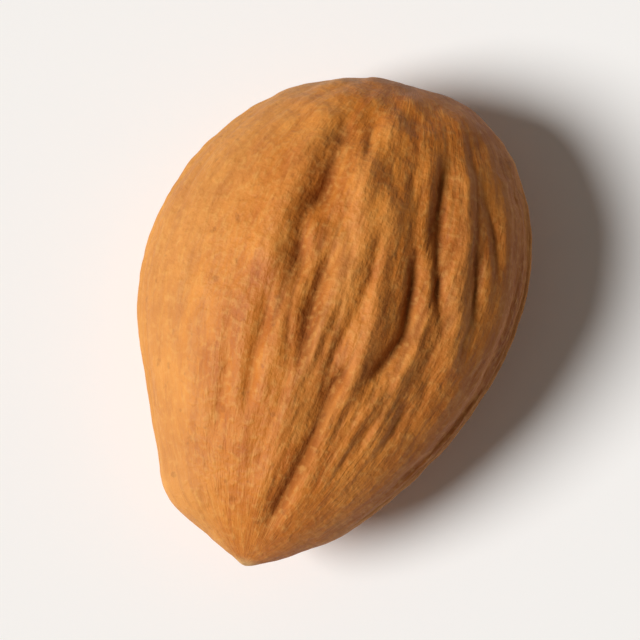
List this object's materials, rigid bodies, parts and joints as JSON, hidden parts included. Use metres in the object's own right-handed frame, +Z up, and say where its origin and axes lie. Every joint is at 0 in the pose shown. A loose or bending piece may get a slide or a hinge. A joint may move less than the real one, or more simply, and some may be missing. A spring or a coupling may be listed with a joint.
{
  "type": "almond",
  "caption": "Shelled almond kernel, skin on: flattened teardrop with a pointed tip, keeled margins, lengthwise furrows and a flat resting spot.",
  "frame": {"origin": "centre of the bounding box, at the height of the flat spot the kernel rests on", "axes": "+Y from the pointed tip to the broad end, +X towards the right margin as seen from above, +Z up"},
  "size_m": [0.0166, 0.0222, 0.009],
  "materials": {
    "almond_skin": "matt, scurfy, furrowed brown seed skin with a paler tip"
  },
  "bodies": {
    "root": {"almond_kernel": "almond_skin"}
  },
  "joints": []
}
